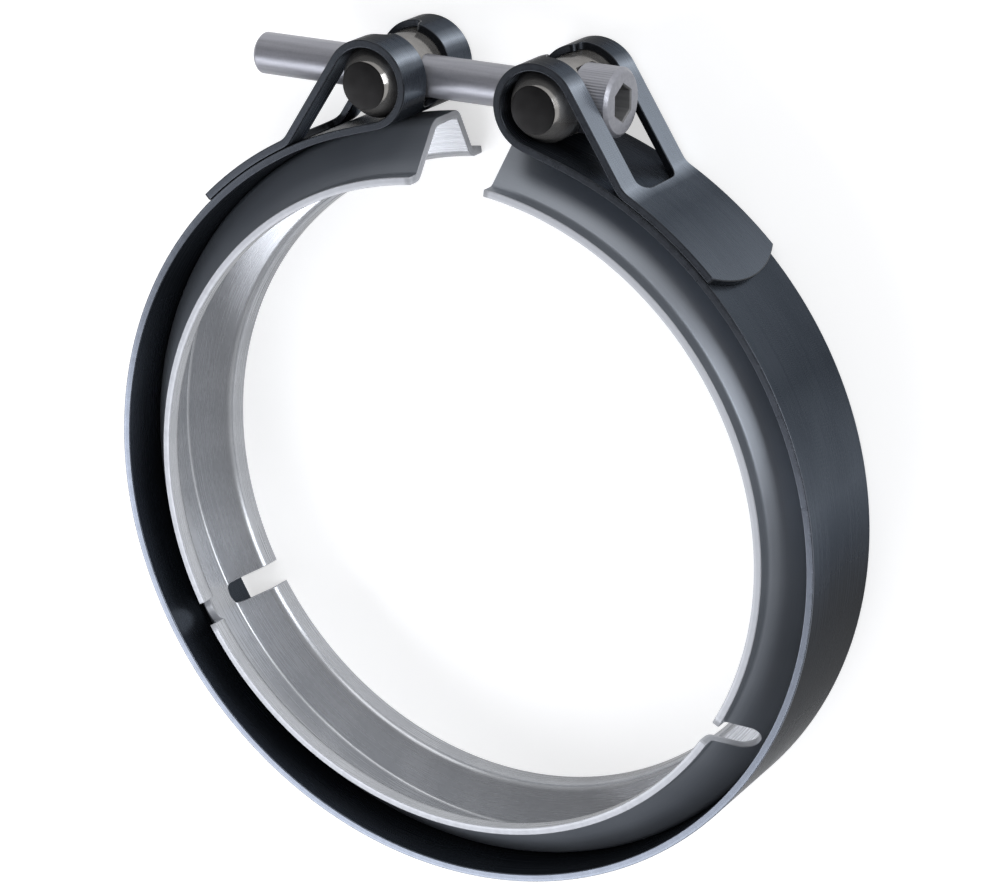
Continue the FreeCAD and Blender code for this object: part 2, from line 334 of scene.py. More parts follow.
def sheared_edge(name, burnished, torn, smooth, rough, metallic, painted_light=None):
    """A cut edge. Its last argument paints shade: (half the strip's length in mm, stops), and
    level 0 is the darkest painted shade.
    """
    finish = Finish(name)
    place = place_on_blank(finish)
    through = finish.node("ShaderNodeSeparateXYZ", None, {"Vector": place}, output=2)
    marks = streaks(finish, place, (700.0, 700.0, 200.0), detail=2.0)
    drift = streaks(finish, place, (160.0, 160.0, 0.0), detail=2.0)
    # in metres: the zones meet a little way past the sheet's middle, along a ragged line
    border = through + 0.0003 * (drift - 0.5) + 0.00010 * (marks - 0.5)
    zone = squeezed(finish, border, 0.00010, 0.00028, 0.0, 1.0)
    colour = mixed(finish, zone, torn, burnished)
    # painted shade: darker stretches of the edge, from a ramp of stops
    if painted_light:
        colour = mixed(finish, level_from_ends(finish, place, *painted_light), EDGE_PAINTED_SHADE, colour)
    shine = squeezed(finish, marks, 0.3, 0.7, smooth, rough) + 0.04 * (1 - zone)
    return steel(finish, colour, shine, height=marks, depth=0.0000015, metallic=metallic)


channel_edge_finish = sheared_edge(
    "channel_cut_edge", burnished=(0.43, 0.44, 0.465, 1), torn=(0.37, 0.38, 0.405, 1),
    smooth=0.34, rough=0.48, metallic=0.25)
print("made", channel_edge_finish.name)

# %% [markdown]
# ## Finish: the channel
# A channel like this is rolled into its V between rollers, which leave faint lines round the ring.
# It is made darker and more matt outside than inside: the darker outside is painted shade, and the
# lighter inside is painted light. One finish for both sides would be simpler, and the real sheet
# may well have only one, but with two the clamp looked right.

# %% Finish of the channel
round_the_ring = (2600.0, 25.0, 0.0)
# painted shade outside and painted light inside: one steel in a darker and a lighter copy
channel_shaded_outer_finish = rolled_steel(
    "channel_outer_painted_shade", dark=(0.190, 0.206, 0.232, 1), light=(0.225, 0.242, 0.270, 1),
    smooth=0.34, rough=0.44, metallic=0.5, lines_scale=round_the_ring)
channel_lit_inner_finish = rolled_steel(
    "channel_inner_painted_light", dark=(0.40, 0.41, 0.43, 1), light=(0.48, 0.49, 0.51, 1),
    smooth=0.22, rough=0.32, metallic=0.6, grazing=0.5, lines_scale=round_the_ring)
print("made", channel_shaded_outer_finish.name, channel_lit_inner_finish.name)

# %% [markdown]
# ## Finish: the trunnions
# The trunnions are turned from bright bar. Turning leaves fine rings round the axis: on the end
# faces they are circles. The distance from the axis, and the height along it, both turned into one
# noise, give rings on the faces and on the cones alike. The end faces are nearly black and the
# cones and sides bright. That too was chosen: the black of the end faces is painted shade, since
# bright faces that have something dark to mirror would look the same.

# %% Finish of the trunnions
def turned_steel(name, dark, light, smooth, rough, metallic, grazing=1.0):
    finish = Finish(name)
    place = place_on_object(finish)
    from_axis = finish.node("ShaderNodeVectorMath", {"operation": "LENGTH"},
                            {0: scaled(finish, place, (1, 1, 0))}, output=1)
    height = finish.node("ShaderNodeSeparateXYZ", None, {"Vector": place}, output=2)
    rings = finish.node("ShaderNodeTexNoise", {"noise_dimensions": "1D"},
                        {"W": from_axis + 0.7 * height, "Scale": 9000.0,
                         "Detail": 2.0, "Roughness": 0.6})
    cloud = streaks(finish, place, (220.0, 220.0, 220.0), detail=2.0)
    colour = mixed(finish, squeezed(finish, cloud, 0.35, 0.65, 0.0, 1.0), dark, light)
    shine = squeezed(finish, rings, 0.3, 0.7, smooth, rough)
    return steel(finish, colour, shine, height=rings, depth=0.0000015,
                 metallic=metallic, grazing=grazing)


trunnion_finish = turned_steel(
    "trunnion_turned_steel", dark=(0.24, 0.232, 0.222, 1), light=(0.32, 0.31, 0.298, 1),
    smooth=0.10, rough=0.18, metallic=0.75, grazing=0.3)
# painted shade: the end faces are the same turned steel, darkened
trunnion_face_shaded_finish = turned_steel(
    "trunnion_face_painted_shade", dark=(0.013, 0.0125, 0.0125, 1), light=(0.019, 0.0185, 0.0185, 1),
    smooth=0.34, rough=0.46, metallic=1.0)
print("made", trunnion_finish.name, trunnion_face_shaded_finish.name)

# %% [markdown]
# ## Finish: the screw
# The screw looks plated: even, satin, and with a faint lilac cast. Fine drawn lines run along it.
# The socket gets a darker and more matt finish than the rest: painted shade in the recess. Shade
# alone might make it dark, so that is a choice of looks and not a known finish.

# %% Finish of the screw
def plated_steel(name, dark, light, smooth, rough, metallic):
    finish = Finish(name)
    place = place_on_object(finish)
    drawn = streaks(finish, place, (60.0, 1300.0, 1300.0), detail=3.0)
    grain = streaks(finish, place, (2400.0, 2400.0, 2400.0), detail=2.0)
    tone = squeezed(finish, 0.7 * drawn + 0.3 * grain, 0.35, 0.65, 0.0, 1.0)
    colour = mixed(finish, tone, dark, light)
    shine = squeezed(finish, grain, 0.3, 0.7, smooth, rough)
    return steel(finish, colour, shine, height=0.5 * drawn + 0.5 * grain, depth=0.000004,
                 metallic=metallic)


screw_finish = plated_steel(
    "screw_plated_steel", dark=(0.22, 0.222, 0.245, 1), light=(0.28, 0.282, 0.31, 1),
    smooth=0.32, rough=0.44, metallic=0.55)
# painted shade: the socket is darkened
socket_shaded_finish = plated_steel(
    "socket_painted_shade", dark=(0.12, 0.12, 0.122, 1), light=(0.16, 0.16, 0.162, 1),
    smooth=0.40, rough=0.55, metallic=0.2)
print("made", screw_finish.name, socket_shaded_finish.name)

# %% [markdown]
# ## Bent sheet: the idea
# The band and the channel are both cut flat and bent afterwards. They could be extruded and cut
# with Booleans, but a Boolean leaves long thin faces, sharp edges and muddled shading on a
# curved sheet. So they are made here as in the factory. A flat blank is drawn with its windows
# and notches, filled with faces, sliced where the bends need it, and every point is then
# carried to its place on the bent path. The normals come from the same path, so a highlight
# runs over the sheet without a flaw.
#
# A path is a chain of straight runs and bends. Each stretch is kept as a row: where it
# starts along the path, its length, its first point and heading, and how sharply it turns.

# %% A path of runs and bends
def path_of(x, y, heading, moves):
    """Rows of (start, length, x, y, heading, turn per millimetre) for a chain of moves.

    The moves are ("run", length), ("left", radius, degrees) and ("right", radius, degrees).
    """
    rows = []
    travelled = 0.0
    for kind, size, *sweep in moves:
        if kind == "run":
            length, turning = size, 0.0
        else:
            length = size * math.radians(sweep[0])
            turning = (1 if kind == "left" else -1) / size
        rows.append((travelled, length, x, y, heading, turning))
        half = turning * length / 2
        chord = length * np.sinc(half / math.pi)
        x += chord * math.cos(heading + half)
        y += chord * math.sin(heading + half)
        heading += 2 * half
        travelled += length
    return np.array(rows)


def walk(path, along):
    """X, Y and heading at each length along a path."""
    row = np.clip(np.searchsorted(path[:, 0], along, side="right") - 1, 0, len(path) - 1)
    start, _, x, y, heading, turning = path[row].T
    run = along - start
    half = turning * run / 2
    chord = run * np.sinc(half / math.pi)
    there = heading + half
    return x + chord * np.cos(there), y + chord * np.sin(there), heading + 2 * half


LARGE_BEND = 40.0           # radius from which a bend counts as large


def stations(path, small_step, large_step, run_step):
    """Lengths at which a sheet is sliced: every so many degrees in a bend, and mm in a run."""
    stops = []
    for start, length, _, _, _, turning in path:
        if turning == 0:
            count = math.ceil(length / run_step)
        else:
            step = large_step if abs(turning) < 1 / LARGE_BEND else small_step
            count = math.ceil(math.degrees(length * abs(turning)) / step)
        stops += [start + length * i / count for i in range(count)]
    return np.array(stops[1:])


print("path helpers ready")

# %% [markdown]
# The blank is filled with triangles, and then sliced. Slicing one line after another would
# pass over the whole blank each time. Cutting at the middle line first, and then each half by
# itself, is much quicker. The outlines get their points on the cuts first. Without them the
# fill has long slivers along the straight sides, and a sliver that is bent shows as a dark
# speck. The rims are read from the sliced blank afterwards, so that the sheet's two skins and
# its edges share their points.

# %% Filling and slicing a blank
SAME = 0.01                 # points nearer to a cut than this lie on it


def inset(outline, by):
    """An outline moved to its left, which is the side of the material, with mitred corners."""
    points = np.array(outline, float)
    return points - by * mitres(points)


def mitres(points):
    """For each point of a closed outline, the way to the outline's right, longer at corners."""
    before = points - np.roll(points, 1, axis=0)
    after = np.roll(points, -1, axis=0) - points
    sides = []
    for edge in (before, after):
        side = np.stack([edge[:, 1], -edge[:, 0]], axis=1)
        sides.append(side / np.linalg.norm(side, axis=1, keepdims=True))
    shared = 1 + np.sum(sides[0] * sides[1], axis=1, keepdims=True)
    return (sides[0] + sides[1]) / shared


def slice_up(bm, faces, axis, cuts):
    """Cuts faces of a flat mesh at each cut along an axis, from the middle cut outwards."""
    if len(cuts) == 0 or not faces:
        return
    middle = len(cuts) // 2
    at = cuts[middle]
    way = Vector((1, 0, 0)) if axis == 0 else Vector((0, 1, 0))
    parts = set(faces)
    for face in faces:
        parts.update(face.verts)
        parts.update(face.edges)
    done = bmesh.ops.bisect_plane(bm, geom=list(parts), dist=SAME, plane_co=way * at, plane_no=way)
    below, above = [], []
    for face in done["geom"]:
        if isinstance(face, bmesh.types.BMFace):
            (below if face.calc_center_median()[axis] < at else above).append(face)
    slice_up(bm, below, axis, cuts[:middle])
    slice_up(bm, above, axis, cuts[middle + 1:])


def with_crossings(outline, axis, cuts):
    """An outline with a point more wherever a cut along the axis will pass it."""
    out = []
    for here, there in zip(outline, np.roll(outline, -1, axis=0)):
        out.append(here)
        low, high = sorted((here[axis], there[axis]))
        passed = cuts[(cuts > low + SAME) & (cuts < high - SAME)]
        if there[axis] < here[axis]:
            passed = passed[::-1]
        for cut in passed:
            out.append(here + (there - here) * (cut - here[axis]) / (there[axis] - here[axis]))
    return np.array(out)


def cut_blank(outlines, first_cuts, second_cuts):
    """Fills and slices outlines. Returns points, and faces and rims as numbers of points."""
    bm = bmesh.new()
    for outline in outlines:
        outline = with_crossings(with_crossings(outline, 0, first_cuts), 1, second_cuts)
        ring = [bm.verts.new((x, y, 0)) for x, y in outline]
        for a, b in zip(ring, ring[1:] + ring[:1]):
            bm.edges.new((a, b))
    bmesh.ops.triangle_fill(bm, use_beauty=True, use_dissolve=False, edges=bm.edges[:],
                            normal=(0, 0, 1))
    slice_up(bm, bm.faces[:], 0, first_cuts)
    slice_up(bm, bm.faces[:], 1, second_cuts)
    for face in bm.faces:
        face.normal_update()
        if face.normal.z < 0:
            face.normal_flip()
    bm.verts.index_update()
    points = np.array([v.co[:2] for v in bm.verts])
    faces = [[v.index for v in face.verts] for face in bm.faces]
    follows = {}
    for edge in bm.edges:
        if len(edge.link_loops) == 1:
            loop = edge.link_loops[0]
            follows[loop.vert.index] = loop.link_loop_next.vert.index
    bm.free()
    rims = []
    while follows:
        at = next(iter(follows))
        rim = []
        while at in follows:
            rim.append(at)
            at = follows.pop(at)
        rims.append(rim)
    return points, faces, rims


print("blank helpers ready")

# %% [markdown]
# A bent sheet has two skins, half a thickness to either side of the path, and along each rim
# an edge with its arrises broken. The arris is a quarter round of a fifth of a millimetre,
# small, but it is what catches the light along every cut on a real sheet.

# %% Bending a blank into a sheet
ARRIS = 0.2
NUDGE = 0.01                # a step short enough to tell which way a bent surface faces


def mesh_piece(name, points, faces, face_finishes, finishes, normals=None, blank=None):
    """A mesh object from points in millimetres."""
    mesh = bpy.data.meshes.new(name)
    mesh.from_pydata(np.asarray(points) * MM, [], faces)
    for finish in finishes:
        mesh.materials.append(finish)
    mesh.polygons.foreach_set("material_index", face_finishes)
    mesh.polygons.foreach_set("use_smooth", [True] * len(mesh.polygons))
    if blank is not None:
        layer = mesh.attributes.new("blank", "FLOAT_VECTOR", "POINT")
        layer.data.foreach_set("vector", (np.asarray(blank) * MM).ravel())
    mesh.update()
    if normals is not None:
        mesh.normals_split_custom_set_from_vertices([tuple(n) for n in normals])
    piece = bpy.data.objects.new(name, mesh)
    bpy.context.scene.collection.objects.link(piece)
    return piece


def unit(vectors):
    return vectors / np.linalg.norm(vectors, axis=1, keepdims=True)


def bent_sheet(name, blank, bend, thickness, finishes):
    """A sheet from a sliced blank. bend(points, offset) carries blank points to their places.

    The finishes are for the side of positive offset, the side of negative offset, and the edges.
    """
    points, faces, rims = blank
    half = thickness / 2
    nudge = np.full(len(points), NUDGE)
    upwards = unit(bend(points, nudge) - bend(points, -nudge))
    a, b, c = (bend(points[[i]], np.zeros(1))[0] for i in faces[0][:3])
    ccw_side = 1 if np.dot(np.cross(b - a, c - a), upwards[faces[0][0]]) > 0 else -1

    places, normals, blanks, quads, quad_finishes = [], [], [], [], []
    count = 0

    def add(flat, offset, normal):
        nonlocal count
        places.append(bend(flat, np.full(len(flat), offset)))
        normals.append(normal)
        blanks.append(np.column_stack([flat, np.full(len(flat), offset)]))
        count += len(flat)
        return count - len(flat)

    for side in (1, -1):
        first = add(points, side * half, side * upwards)
        for face in faces:
            numbers = [first + i for i in face]
            quads.append(numbers if side == ccw_side else numbers[::-1])
            quad_finishes.append(0 if side > 0 else 1)

    quarter = [math.radians(turn) for turn in (45, 90)]
    for rim in rims:
        rim = np.array(rim)
        flat = points[rim]
        away = mitres(flat)
        middle = np.zeros(len(rim))
        outwards = unit(bend(flat + NUDGE * away, middle) - bend(flat, middle))
        rows = [rim + (0 if ccw_side > 0 else len(points))]
        steps = [(turn, ccw_side) for turn in quarter]
        steps += [(turn, -ccw_side) for turn in quarter[::-1]]
        for turn, side in steps:
            offset = side * (half - ARRIS + ARRIS * math.cos(turn))
            normal = unit(side * math.cos(turn) * upwards[rim] + math.sin(turn) * outwards)
            first = add(flat + away * ARRIS * math.sin(turn), offset, normal)
            rows.append(np.arange(first, first + len(rim)))
        rows.append(rim + (len(points) if ccw_side > 0 else 0))
        for near, far in zip(rows, rows[1:]):
            for here, there in zip(range(len(rim)), np.roll(np.arange(len(rim)), -1)):
                quads.append([int(near[there]), int(near[here]), int(far[here]), int(far[there])])
                quad_finishes.append(2)
    return mesh_piece(name, np.vstack(places), quads, quad_finishes, finishes,
                      np.vstack(normals), np.vstack(blanks))


print("sheet helpers ready")

# %% [markdown]
# ## The band's path
# Seen along the clamp's axis, the band is one line. It starts at the tail's tip on the
# outside of the ring, runs back towards the opening, bends outwards into the strap, goes round
# the trunnion, comes back down as the leg and becomes the ring itself. The other end is
# the same in reverse. The leg is the common tangent of the ring and the loop, and the strap is
# a tangent of the loop that meets the ring in a bend, so both follow from the trunnion's place.

# %% The band's path
def ring_point(angle, radius):
    return np.array([math.sin(math.radians(angle)), math.cos(math.radians(angle))]) * radius


strap_distance = float(ring_point(strap_lean, 1) @ [pin_x, pin_y]) + loop_mid_r
bend_sweep = math.degrees(math.acos((strap_distance + bend_mid_r) / (tail_mid_r + bend_mid_r)))
bend_start = strap_lean - bend_sweep
strap_foot = ring_point(bend_start, tail_mid_r + bend_mid_r) - ring_point(strap_lean, bend_mid_r)
strap_top = np.array([pin_x, pin_y]) + ring_point(strap_lean, loop_mid_r)
strap_run = float(np.linalg.norm(strap_top - strap_foot))
leg_run = math.sqrt(trunnion_reach ** 2 - (band_mid_r + loop_mid_r) ** 2)
leg_angle = math.degrees(math.asin(pin_x / trunnion_reach)
                         + math.acos((band_mid_r + loop_mid_r) / trunnion_reach))
tongue_reach = math.sqrt(tongue_r ** 2 - (band_width / 2) ** 2)
tongue_centre = tail_edge - math.degrees(math.asin(tongue_reach / tail_mid_r))
tail_tip = tongue_centre + math.degrees(math.asin(tongue_r / tail_mid_r))

right_end = [
    ("left", tail_mid_r, tail_tip - bend_start),
    ("right", bend_mid_r, bend_sweep),
    ("run", strap_run),
    ("left", loop_mid_r, strap_lean + 180 - leg_angle),
    ("run", leg_run),
]
band_moves = right_end + [("right", band_mid_r, 360 - 2 * leg_angle)] + right_end[::-1]
band_path = path_of(*ring_point(tail_tip, tail_mid_r), math.radians(180 - tail_tip), band_moves)
band_length = band_path[-1, 0] + band_path[-1, 1]
print("strip", round(band_length, 1), "mm long, leg", round(leg_run, 2), "mm, strap",
      round(strap_run, 2), "mm")

# %% [markdown]
# ## The band's blank
# Each end of the blank is a shallow arc, and behind it there is one large opening: a wide
# window that clears the screw's head, narrowing through a rounded shoulder to a slot for the
# shank, on the side of the loop that faces the gap. The outline is drawn for one half of the
# width, mirrored, and then mirrored again for the other end.

# %% The band's blank
def arc_points(cx, cy, radius, from_deg, to_deg, count=9):
    turns = np.radians(np.linspace(from_deg, to_deg, count))
    return [(cx + radius * math.cos(t), cy + radius * math.sin(t)) for t in turns]


bend_at = band_path[1, 0]
loop_top_at = band_path[3, 0] + loop_mid_r * math.radians(strap_lean)
window_lead = 0.5           # the window starts this far before the bend at the strap's foot
shoulder_past = 1.0         # and ends this far past the top of the loop
slot_past = 1.4             # the slot's round end starts this far past the loop's side
corner, hollow, full = 3.0, 1.3, 0.9    # radii: the window's corners, then the shoulder's two
slot_points, tongue_points = 15, 33
across_cuts = np.array([-6.0, 0.0, 6.0])

window_at = bend_at - window_lead
shoulder_at = loop_top_at + shoulder_past
slot_end_at = loop_top_at + loop_mid_r * math.pi / 2 + slot_past
upper = [(window_at, 0.0)] + arc_points(window_at + corner, window_half - corner, corner, 180, 90)
upper += arc_points(shoulder_at - hollow, window_half - hollow, hollow, 90, 0)
upper += arc_points(shoulder_at + full, slot_half + full, full, 180, 270)
for height in slot_half * np.sin(np.radians(np.linspace(90, 0, slot_points))):
    reach = loop_mid_r * math.asin(math.sqrt(slot_half ** 2 - height ** 2) / loop_mid_r)
    upper.append((slot_end_at + reach, float(height)))
lower = [(x, -y) for x, y in upper[-2:0:-1]]
opening = upper + lower     # clockwise, so that the material is on its left

tongue = []
for height in np.linspace(-band_width / 2, band_width / 2, tongue_points):
    back = math.asin(math.sqrt(tongue_r ** 2 - height ** 2) / tail_mid_r)
    tongue.append((tail_mid_r * (math.radians(tail_tip - tongue_centre) - back), float(height)))
far_tongue = [(band_length - x, -y) for x, y in tongue]
strip_outline = (far_tongue + tongue)[::-1]
far_opening = [(band_length - x, -y) for x, y in opening]

band_cuts = stations(band_path, small_step=4.5, large_step=1.5, run_step=9.0)
band_blank = cut_blank([inset(o, ARRIS) for o in (strip_outline, opening, far_opening)],
                       band_cuts, across_cuts)
print("band blank", len(band_blank[0]), "points,", len(band_blank[2]), "rims")

# %% [markdown]
# ## The band
# The blank's first coordinate becomes the way along the path and its second the clamp's axis.
# The offset is measured to the path's left, which is the inside of the loops and the outside
# of the ring.
#
# The band's tone changes along the strip: light at the foot of each strap, along the strap and at
# two lines across each loop, and dark elsewhere. These are painted highlights and painted shade:
# the lamps alone could be left to do that, and no wear or tool is known that would. They are stops
# of a ramp, set until the play of light and dark looked right, so they are retouching. One
# constant is better for a clamp that is shown in other light. The cut edge gets painted shade in
# the same way.

# %% The band
def bend_band(points, offset):
    x, y, heading = walk(band_path, points[:, 0])
    return np.column_stack([x - offset * np.sin(heading), y + offset * np.cos(heading),
                            points[:, 1]])


half_length = band_length / 2
loop_at, ring_at = band_path[3, 0], band_path[5, 0]
loop_degree, ring_degree = loop_mid_r * math.pi / 180, band_mid_r * math.pi / 180
# painted highlights and painted shade round each loop and on the ring: degrees from where each
# begins, and the level
loop_painted_light = [(0, 0.90), (12, 0.12), (60, 0.02), (98, 0.10), (110, 0.90), (121, 0.02),
           (140, 0.06), (150, 0.34), (162, 0.0)]
ring_painted_light = [(30, 0.06), (45, 0.0), (62, 0.16), (80, 0.0)]
# painted shade on the band's cut edge, darkest towards the ends and gone from 68 degrees into the
# ring
edge_painted_shade_in_ring = [(5, 0.18), (32, 0.24), (50, 0.45), (68, 1.0)]
# painted highlights at the foot of each strap and along it
band_painted_light = [
    (0.0, 0.22), (bend_at * 0.35, 0.16), (bend_at * 0.7, 0.07), (bend_at - 2.0, 0.12),
    (bend_at + 0.8, 0.85), (bend_at + 2.5, 0.62), (loop_at - 3.0, 0.52)]
band_painted_light += [(loop_at + degrees * loop_degree, level) for degrees, level in loop_painted_light]
band_painted_light += [(ring_at + degrees * ring_degree, level) for degrees, level in ring_painted_light]
band_painted_light += [(half_length, 0.0)]
edge_painted_shade = [(0.0, 0.22)]
edge_painted_shade += [(ring_at + degrees * ring_degree, level) for degrees, level in edge_painted_shade_in_ring]
edge_painted_shade += [(half_length, 1.0)]

# the band's finish gets the painted highlights and shade, and its cut edge the painted shade
band_finish = rolled_steel(
    "band_rolled_steel", dark=(0.040, 0.047, 0.058, 1), light=(0.40, 0.445, 0.51, 1),
    smooth=0.22, rough=0.32, metallic=0.8, grazing=0.12, painted_light=(half_length, band_painted_light))
band_edge_finish = sheared_edge(
    "band_cut_edge", burnished=(0.125, 0.137, 0.161, 1), torn=(0.114, 0.125, 0.148, 1),
    smooth=0.23, rough=0.29, metallic=0.9, painted_light=(half_length, edge_painted_shade))
band = bent_sheet("band_strip", band_blank, bend_band, strip,
                  [band_finish, band_finish, band_edge_finish])
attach(band, "ring")
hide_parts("band")
print("band", len(band.data.polygons), "faces")

# %% [markdown]
# ## The channel's section
# The V is one strip too, bent four times: a lip, a wall, the flat that lies in the band, the
# other wall and the other lip. The front wall slopes more than the back one. The section is a
# path like the band's, drawn with minus the radius across and the clamp's axis up.

# %% The channel's section
half_strip = strip / 2
lip_mid_r = channel_flat_r - groove_depth - half_strip


def wall_runs(corner, slope, lip, flat_bend, lip_bend):
    """Where a wall's middle line meets the flat, its lip's end, and the runs between its bends."""
    slope = math.radians(slope)
    turn = math.pi / 2 - slope
    top = corner - half_strip / math.cos(slope) + half_strip * math.tan(slope)
    edge = corner + groove_depth * math.tan(slope) + lip
    foot = top + groove_depth * math.tan(slope)
    lip_run = edge - foot - lip_bend * math.tan(turn / 2)
    wall_run = groove_depth / math.cos(slope) - (lip_bend + flat_bend) * math.tan(turn / 2)
    return top, edge, lip_run, wall_run, flat_bend * math.tan(turn / 2)


front_top, front_edge, front_lip_run, front_run, front_setback = wall_runs(**front_wall)
back_top, back_edge, back_lip_run, back_run, back_setback = wall_runs(**back_wall)
section = path_of(-lip_mid_r, front_edge, -math.pi / 2, [
    ("run", front_lip_run),
    ("right", front_wall["lip_bend"], 90 - front_wall["slope"]),
    ("run", front_run),
    ("left", front_wall["flat_bend"], 90 - front_wall["slope"]),
    ("run", front_top + back_top - front_setback - back_setback),
    ("left", back_wall["flat_bend"], 90 - back_wall["slope"]),
    ("run", back_run),
    ("right", back_wall["lip_bend"], 90 - back_wall["slope"]),
    ("run", back_lip_run),
])
section_length = section[-1, 0] + section[-1, 1]
print("section", round(section_length, 2), "mm")
print("lips at", round(front_edge, 2), round(-back_edge, 2), "and the frame's at",
      round(channel_front, 2), round(channel_back, 2))

# %% [markdown]
# ## The channel's blank
# The second coordinate is the way round the ring, measured where the radius is 70 mm. Four
# notches let the stiff section bend: each runs in from a lip and ends in a half round. A notch
# has the same width at every depth of the V, so in the blank its sides spread a little where
# the radius gets smaller.
#
# Filling leaves faces with no area along points that lie in one line, so the lips bow outwards
# by a hundredth of a millimetre.

# %% The channel's blank
ring_r = 70.0
fine_points = 1200          # points along the section that a notch's side is picked from
just_inside = 0.004         # the first point that counts is this far past the notch's end
least_step = 0.3            # least distance between the points of a notch's side
lip_clear = 3 * ARRIS       # nearer to a lip's corner the inset outline would cross itself
lip_bow = 0.01
ring_step = 1.5             # degrees from slice to slice round the ring


def notch(angle, front):
    """One side to the other of a notch in the blank, from its lip round its end and back."""
    fine = np.linspace(0, section_length, fine_points)
    x, z, _ = walk(section, fine)
    depth = z if front else -z
    start = relief_front if front else relief_back
    centre = start + relief_r
    inside = depth > start + just_inside
    fine, radius, depth = fine[inside], -x[inside], depth[inside]
    rounding = np.sqrt(np.maximum(relief_r ** 2 - (depth - centre) ** 2, 0))
    spread = ring_r * np.arcsin(np.where(depth < centre, rounding, relief_r) / radius)
    lip = 0 if front else len(fine) - 1
    keep = []
    for i in range(len(fine)):
        clear = abs(fine[i] - fine[lip]) > lip_clear
        last = keep[-1] if keep else None
        apart = not keep or math.hypot(fine[i] - fine[last], spread[i] - spread[last]) > least_step
        if i == lip or (clear and apart):
            keep.append(i)
    middle = ring_r * math.radians(angle)
    side = [(fine[i], spread[i]) for i in keep]
    if not front:
        side = side[::-1]
    # the lip comes first
    return [(s, middle - w) for s, w in side] + [(s, middle + w) for s, w in side[::-1]]


start_w, end_w = ring_r * math.radians(half_gap), ring_r * math.radians(360 - half_gap)
back_side = notch(relief_angle, False) + notch(360 - relief_angle, False)
front_side = (notch(relief_angle, True) + notch(360 - relief_angle, True))[::-1]
straight_outline = [(section_length, start_w)] + back_side
straight_outline += [(section_length, end_w), (0.0, end_w)] + front_side + [(0.0, start_w)]
channel_outline = []
for s, w in straight_outline:
    bow = lip_bow * (2 * s / section_length - 1)
    channel_outline.append((s + bow * math.sin(math.pi * (w - start_w) / (end_w - start_w)), w))

last_cut = 360 - half_gap - 1.0     # the slices stop a degree before the end
round_cuts = ring_r * np.radians(np.arange(half_gap + ring_step, last_cut, ring_step))
section_cuts = stations(section, small_step=6.0, large_step=6.0, run_step=3.5)
channel_blank = cut_blank([inset(channel_outline, ARRIS)], section_cuts, round_cuts)
print("channel blank", len(channel_blank[0]), "points,", len(channel_blank[2]), "rims")

# %% [markdown]
# ## The channel
# Carrying the blank to its place takes two steps: along the section for the radius and the
# height, and then round the ring. Its inside is the side of positive offset.

# %% The channel
def bend_channel(points, offset):
    x, z, heading = walk(section, points[:, 0])
    radius = -(x - offset * np.sin(heading))
    angle = points[:, 1] / ring_r
    return np.column_stack([radius * np.sin(angle), radius * np.cos(angle),
                            z + offset * np.cos(heading)])


channel = bent_sheet("v_channel", channel_blank, bend_channel, strip,
                     [channel_lit_inner_finish, channel_shaded_outer_finish, channel_edge_finish])
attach(channel, "ring")
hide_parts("channel")
print("channel", len(channel.data.polygons), "faces")

# %% [markdown]
# ## Turned pieces: the idea
# The trunnions and the screw are turned, so they are made as a lathe makes them: a profile of
# rings round an axis. A ring's radius may also change round the piece. That is how the screw's
# knurl and its hexagon socket come out of the same lathe, with no Boolean and clean faces.

# %% A lathe
ROUND_STEPS = 3             # faces in the short arc at each rounded corner


def lathe(rings, sides, marks=None):
    """Points and faces of a turned piece along Z, from a pole through rings to a pole.

    Each ring is (height, radius), where the radius is a number or a function of the angle.
    marks gives each ring gap its finish number.
    """
    angles = np.linspace(0, 2 * math.pi, sides, endpoint=False)
    points, faces, face_marks = [], [], []
    for number, (height, radius) in enumerate(rings):
        r = radius(angles) if callable(radius) else np.full(sides, float(radius))
        if number in (0, len(rings) - 1):
            points.append((0.0, 0.0, height))
            continue
        points += [(a * math.cos(t), a * math.sin(t), height) for a, t in zip(r, angles)]
    last = len(points) - 1
    for gap in range(len(rings) - 1):
        here = 1 + (gap - 1) * sides
        for i in range(sides):
            j = (i + 1) % sides
            if gap == 0:
                faces.append([0, 1 + j, 1 + i])
            elif gap == len(rings) - 2:
                faces.append([here + i, here + j, last])
            else:
                faces.append([here + i, here + j, here + sides + j, here + sides + i])
            face_marks.append(marks[gap] if marks else 0)
    return points, faces, face_marks


def rounded(rings, radius):
    """Rounds each inner corner of a profile by a short arc, from and to a little way off."""
    out = [rings[0]]
    for before, at, after in zip(rings, rings[1:], rings[2:]):
        a, p, b = (np.array(q, float) for q in (before, at, after))
        to_a, to_b = a - p, b - p
        reach = min(radius, 0.4 * np.linalg.norm(to_a), 0.4 * np.linalg.norm(to_b))
        start = p + to_a / np.linalg.norm(to_a) * reach
        end = p + to_b / np.linalg.norm(to_b) * reach
        for share in np.linspace(0, 1, ROUND_STEPS + 1):
            left = 1 - share
            out.append(tuple(left ** 2 * start + 2 * share * left * p + share ** 2 * end))
    return out + [rings[-1]]


print("lathe ready")

# %% [markdown]
# ## The trunnions
# Both trunnions have the same outside: a pin a little longer than the band is wide, with a
# long 30 degree chamfer at each end, so that it can be pushed into its loop. The one on the
# left is tapped for the screw. Its thread is out of sight, so the bore is left plain. The one on
# the right has a clear passage, and a seat sunk into it for the screw's head. The cross bores
# are real Booleans, since two cylinders that cross have no simple profile.

